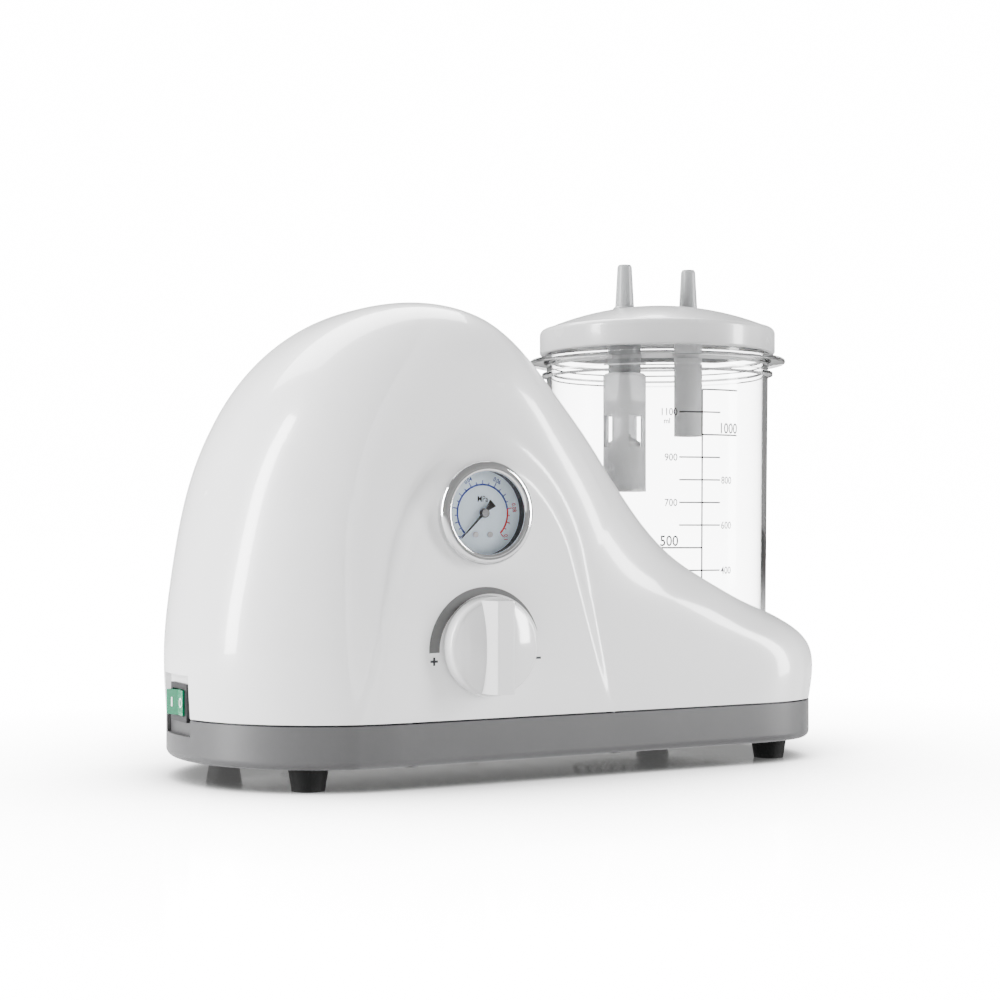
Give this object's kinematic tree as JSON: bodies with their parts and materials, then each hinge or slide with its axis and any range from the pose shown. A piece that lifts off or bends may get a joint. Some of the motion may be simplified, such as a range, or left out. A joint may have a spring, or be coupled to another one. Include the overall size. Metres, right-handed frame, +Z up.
{
  "type": "suction pump",
  "caption": "Table-top medical suction pump: domed casing with gauge, regulator knob and rocker switch, and a lidded graduated collection jar standing in a well.",
  "frame": {"origin": "on the surface the pump stands on, under the middle of its bounding box", "axes": "+X along the casing towards the jar, +Y to the back, +Z up"},
  "size_m": [0.326, 0.1743, 0.247],
  "materials": {
    "cover_plastic": "glossy white moulded ABS",
    "tray_plastic": "satin mid-grey moulded ABS",
    "rubber": "matt black rubber",
    "screw_steel": "zinc-plated steel",
    "clear_jar": "clear polycarbonate with printed scale",
    "lid_plastic": "white polypropylene",
    "seal_silicone": "translucent silicone",
    "nozzle_plastic": "frosted white polypropylene",
    "tube_plastic": "white tube",
    "valve_plastic": "frosted polypropylene",
    "float_foam": "white foam",
    "gauge_steel": "black painted steel",
    "chrome": "polished chrome",
    "lens_glass": "clear lens",
    "dial_face": "pale printed dial",
    "pointer_black": "black paint",
    "brass": "machined brass",
    "knob_plastic": "glossy white ABS",
    "steel": "ground steel",
    "switch_black": "black nylon",
    "rocker_green": "translucent green",
    "port_nylon": "white nylon",
    "lamination": "laminated electrical steel",
    "copper": "enamelled copper wire",
    "cast_alloy": "die-cast aluminium",
    "fan_plastic": "black nylon",
    "bracket_steel": "zinc-plated sheet steel",
    "capacitor_can": "aluminium can",
    "wire_insulation": "black insulated mains wire"
  },
  "bodies": {
    "casing": {"cover_shell": "cover_plastic", "base_tray": "tray_plastic", "rubber_feet": "rubber", "jar_pad": "rubber", "rubber_mounts": "rubber", "cover_screws": "screw_steel", "foot_screws": "screw_steel", "head_screws": "screw_steel", "gauge_dial_screws": "screw_steel", "vacuum_hose": "seal_silicone", "exhaust_hose": "seal_silicone", "gauge_hose": "seal_silicone", "gauge_case": "gauge_steel", "gauge_movement_plate": "gauge_steel", "gauge_bezel": "chrome", "gauge_lens": "lens_glass", "gauge_dial": "dial_face", "bourdon_tube": "brass", "valve_body": "brass", "motor_bearings": "steel", "reed_valves": "steel", "switch_frame": "switch_black", "mains_inlet": "switch_black", "fuse_holder": "switch_black", "vacuum_port": "port_nylon", "port_nut": "port_nylon", "motor_stator": "lamination", "stator_windings": "copper", "rear_end_cap": "cast_alloy", "front_end_cap": "cast_alloy", "crankcase": "cast_alloy", "cylinder_head": "cast_alloy", "valve_plate": "cast_alloy", "pump_cylinder": "cast_alloy", "exhaust_muffler": "fan_plastic", "pump_bracket": "bracket_steel", "motor_capacitor": "capacitor_can", "mains_wire": "wire_insulation"},
    "jar": {"jar": "clear_jar"},
    "lid": {"jar_lid": "lid_plastic", "lid_seal": "seal_silicone", "suction_nozzle": "nozzle_plastic", "vacuum_nozzle": "nozzle_plastic", "inlet_tube": "tube_plastic", "float_valve_collar": "valve_plastic", "float_cage": "valve_plastic"},
    "float": {"float": "float_foam"},
    "knob": {"regulator_knob": "knob_plastic", "valve_stem": "steel"},
    "needle": {"valve_needle": "brass"},
    "rocker": {"rocker": "rocker_green"},
    "pointer": {"gauge_pointer": "pointer_black"},
    "sector": {"gauge_sector": "brass"},
    "rotor": {"motor_rotor": "lamination", "motor_shaft": "steel", "cooling_fan": "fan_plastic", "crank": "steel"},
    "rod": {"piston_rod": "cast_alloy", "rod_bearing": "steel", "piston_cup": "seal_silicone"}
  },
  "joints": [
    {"name": "jar_lift", "type": "slide", "parent": "casing", "child": "jar", "axis": [0, 0, 1], "range_m": [0, 0.2]},
    {"name": "lid_lift", "type": "slide", "parent": "jar", "child": "lid", "axis": [0, 0, 1], "range_m": [0, 0.1]},
    {"name": "float_rise", "type": "slide", "parent": "lid", "child": "float", "axis": [0, 0, 1], "range_m": [0, 0.015]},
    {"name": "knob_turn", "type": "hinge", "parent": "casing", "child": "knob", "pos_m": [-0.0425, -0.06984, 0.0615], "axis": [0, 1, 0], "range_deg": [-90, 90]},
    {"name": "needle_slide", "type": "slide", "parent": "casing", "child": "needle", "axis": [0, 1, 0], "range_m": [-0.0011, 0.0011]},
    {"name": "rocker_tip", "type": "hinge", "parent": "casing", "child": "rocker", "pos_m": [-0.1571, 0.0055, 0.0358], "axis": [0, 0, 1], "range_deg": [-20, 0]},
    {"name": "pointer_turn", "type": "hinge", "parent": "casing", "child": "pointer", "pos_m": [-0.0445, -0.07045, 0.12], "axis": [0, 1, 0], "range_deg": [0, 270]},
    {"name": "sector_turn", "type": "hinge", "parent": "casing", "child": "sector", "pos_m": [-0.0551, -0.06185, 0.12], "axis": [0, 1, 0], "range_deg": [-46, 1]},
    {"name": "motor_spin", "type": "hinge", "parent": "casing", "child": "rotor", "pos_m": [-0.11, 0.0055, 0.082], "axis": [1, 0, 0], "continuous": true},
    {"name": "rod_turn", "type": "hinge", "parent": "rotor", "child": "rod", "pos_m": [-0.067, 0.0055, 0.08], "axis": [1, 0, 0], "continuous": true}
  ],
  "couplings": [
    {"joint": "needle_slide", "follows": "knob_turn", "m_per_rad": 0.00063662},
    {"joint": "sector_turn", "follows": "pointer_turn", "ratio": -0.16667},
    {"joint": "rod_turn", "follows": "motor_spin", "ratio": -1}
  ]
}
